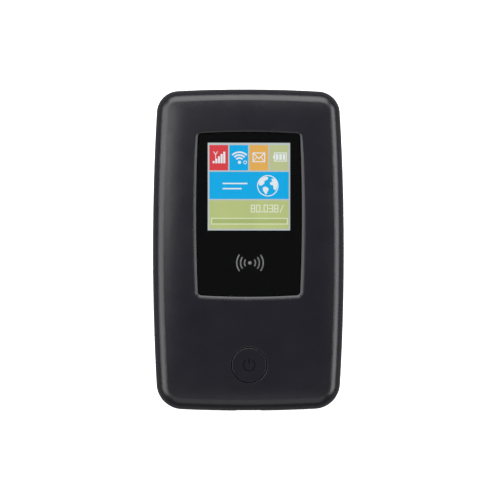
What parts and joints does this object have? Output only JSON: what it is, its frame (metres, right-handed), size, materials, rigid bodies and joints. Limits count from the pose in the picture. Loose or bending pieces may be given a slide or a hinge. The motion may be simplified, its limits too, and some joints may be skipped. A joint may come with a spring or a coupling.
{
  "type": "mobile hotspot",
  "caption": "Pocket mobile hotspot with bowed sides, a glossy window over a small colour screen, a round power button, a pull-off back cover and a removable battery.",
  "frame": {"origin": "middle of the back face, which the unit lies on", "axes": "+Z out of the display face, +Y towards the end above the display, +X to the right across the display"},
  "size_m": [0.0594, 0.1, 0.0149],
  "materials": {
    "shell_black": "moulded, fine satin texture",
    "button_black": "moulded, fine satin texture",
    "window_acrylic": "clear, polished",
    "mask_black": "black film",
    "frame_plastic": "moulded, plain",
    "screw_steel": "zinc plated",
    "foam_black": "closed-cell foam",
    "screen_glass": "display glass with film",
    "chip_black": "moulded epoxy",
    "tray_white": "moulded, white",
    "light_guide": "clear acrylic",
    "flex_amber": "polyimide film",
    "connector_ivory": "moulded",
    "board_green": "solder mask",
    "can_steel": "tin plated sheet",
    "component_tan": "ceramic",
    "connector_black": "moulded",
    "contact_gold": "gold plated",
    "port_steel": "nickel plated sheet",
    "battery_wrap": "printed film",
    "label_silver": "blank film label",
    "label_white": "blank paper label",
    "antenna_copper": "plated copper film"
  },
  "bodies": {
    "chassis": {"front_cover": "shell_black", "display_window": "window_acrylic", "window_mask": "mask_black", "mid_frame": "frame_plastic", "case_screws": "screw_steel", "lcd_gasket": "foam_black", "lcd_tape": "foam_black", "lcd_panel": "screen_glass", "lcd_driver_chip": "chip_black", "lcd_tray": "tray_white", "lcd_light_guide": "light_guide", "lcd_flex": "flex_amber", "lcd_connector": "connector_ivory", "main_board": "board_green", "modem_shield_can": "can_steel", "radio_shield_can": "can_steel", "modem_chip": "chip_black", "memory_chip": "chip_black", "radio_chips": "chip_black", "power_chip": "chip_black", "board_components": "component_tan", "sim_holder_shell": "can_steel", "sim_holder_base": "connector_black", "memory_holder_shell": "can_steel", "memory_holder_base": "connector_black", "card_contacts": "contact_gold", "usb_port_shell": "port_steel", "usb_port_tongue": "connector_black", "battery_connector": "connector_black", "battery_contacts": "contact_gold", "bay_label": "label_white", "power_switch": "port_steel", "reset_switch": "port_steel", "main_antenna": "antenna_copper", "wifi_antenna": "antenna_copper", "antenna_clips": "contact_gold"},
    "power_key": {"power_button": "button_black", "power_switch_plunger": "connector_black"},
    "reset_key": {"reset_plunger": "connector_ivory"},
    "back_cover": {"back_cover": "shell_black"},
    "battery": {"battery_pack": "battery_wrap", "battery_end_cap": "connector_black", "battery_terminals": "contact_gold", "battery_label": "label_silver"}
  },
  "joints": [
    {"name": "power_press", "type": "slide", "parent": "chassis", "child": "power_key", "axis": [0, 0, -1], "range_m": [0, 0.00025], "stiffness_N_per_m": 800},
    {"name": "reset_press", "type": "slide", "parent": "chassis", "child": "reset_key", "axis": [0, 0, 1], "range_m": [0, 0.00025], "stiffness_N_per_m": 600},
    {"name": "cover_lift", "type": "slide", "parent": "chassis", "child": "back_cover", "axis": [0, 0, -1], "range_m": [0, 0.04]},
    {"name": "battery_lift", "type": "slide", "parent": "chassis", "child": "battery", "axis": [0, 0, -1], "range_m": [0, 0.02]}
  ],
  "couplings": [
    {"joint": "battery_lift", "follows": "cover_lift", "ratio": 0.5}
  ]
}
